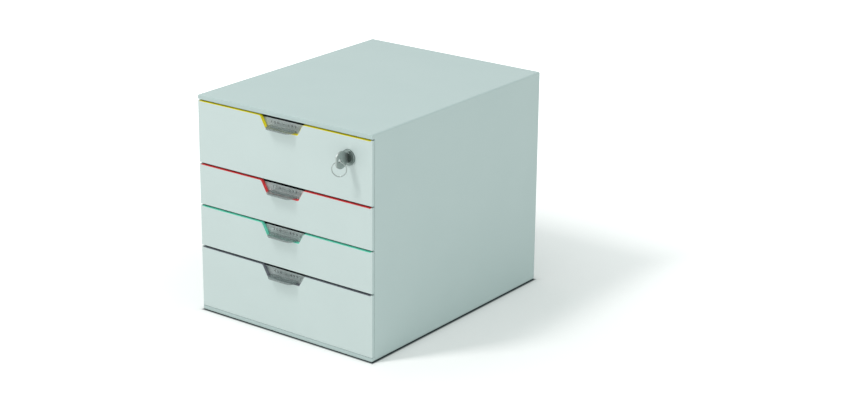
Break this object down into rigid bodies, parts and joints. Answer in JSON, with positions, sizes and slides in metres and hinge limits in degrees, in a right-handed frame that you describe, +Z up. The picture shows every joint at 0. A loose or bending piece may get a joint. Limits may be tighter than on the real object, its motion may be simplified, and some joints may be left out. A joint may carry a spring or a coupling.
{
  "type": "desktop file drawer box",
  "caption": "Closed moulded casing with overlay-front sliding trays, clear pull handles with label windows, coloured front edges and a cam lock with its key in the top drawer.",
  "frame": {"origin": "on the table, under the middle of the whole object, counting the key that stands out in front", "axes": "+X to the right as seen from the front, +Y to the back, drawers slide out along -Y, +Z up"},
  "size_m": [0.28, 0.38, 0.292],
  "materials": {
    "white_plastic": "fine moulded grain",
    "tray_plastic": "smooth moulded",
    "band_1": "yellow, smooth",
    "band_2": "red, smooth",
    "band_3": "teal green, smooth",
    "band_4": "dark grey, smooth",
    "clear_plastic": "clear moulded acrylic, slightly smoky",
    "card": "uncoated card",
    "foot_rubber": "soft rubber",
    "lock_metal": "dark nickel plate",
    "steel": "zinc-plated steel",
    "key_steel": "nickel-plated, stamped"
  },
  "bodies": {
    "casing": {"casing": "white_plastic", "foot_1": "foot_rubber", "foot_2": "foot_rubber", "foot_3": "foot_rubber", "foot_4": "foot_rubber"},
    "drawer_1": {"drawer_1_front": "white_plastic", "drawer_1_edge_band": "band_1", "drawer_1_tray": "tray_plastic", "drawer_1_handle": "clear_plastic", "drawer_1_label_card": "card", "lock_housing": "lock_metal", "lock_nut": "steel"},
    "drawer_2": {"drawer_2_front": "white_plastic", "drawer_2_edge_band": "band_2", "drawer_2_tray": "tray_plastic", "drawer_2_handle": "clear_plastic", "drawer_2_label_card": "card"},
    "drawer_3": {"drawer_3_front": "white_plastic", "drawer_3_edge_band": "band_3", "drawer_3_tray": "tray_plastic", "drawer_3_handle": "clear_plastic", "drawer_3_label_card": "card"},
    "drawer_4": {"drawer_4_front": "white_plastic", "drawer_4_edge_band": "band_4", "drawer_4_tray": "tray_plastic", "drawer_4_handle": "clear_plastic", "drawer_4_label_card": "card"},
    "lock": {"lock_plug": "lock_metal", "lock_cam": "steel", "cam_screw": "steel"},
    "key": {"key": "key_steel"},
    "key_ring": {"key_ring": "key_steel"}
  },
  "joints": [
    {"name": "drawer_1_slide", "type": "slide", "parent": "casing", "child": "drawer_1", "axis": [0, -1, 0], "range_m": [0, 0.25]},
    {"name": "drawer_2_slide", "type": "slide", "parent": "casing", "child": "drawer_2", "axis": [0, -1, 0], "range_m": [0, 0.25]},
    {"name": "drawer_3_slide", "type": "slide", "parent": "casing", "child": "drawer_3", "axis": [0, -1, 0], "range_m": [0, 0.25]},
    {"name": "drawer_4_slide", "type": "slide", "parent": "casing", "child": "drawer_4", "axis": [0, -1, 0], "range_m": [0, 0.25]},
    {"name": "lock_turn", "type": "hinge", "parent": "drawer_1", "child": "lock", "pos_m": [0.104, -0.166, 0.2576], "axis": [0, 1, 0], "range_deg": [0, 90]},
    {"name": "key_slide", "type": "slide", "parent": "lock", "child": "key", "axis": [0, -1, 0], "range_m": [0, 0.03]},
    {"name": "key_ring_swing", "type": "hinge", "parent": "key", "child": "key_ring", "pos_m": [0.104, -0.184, 0.256], "axis": [0.9063, 0.4226, 0], "range_deg": [-60, 40]}
  ]
}
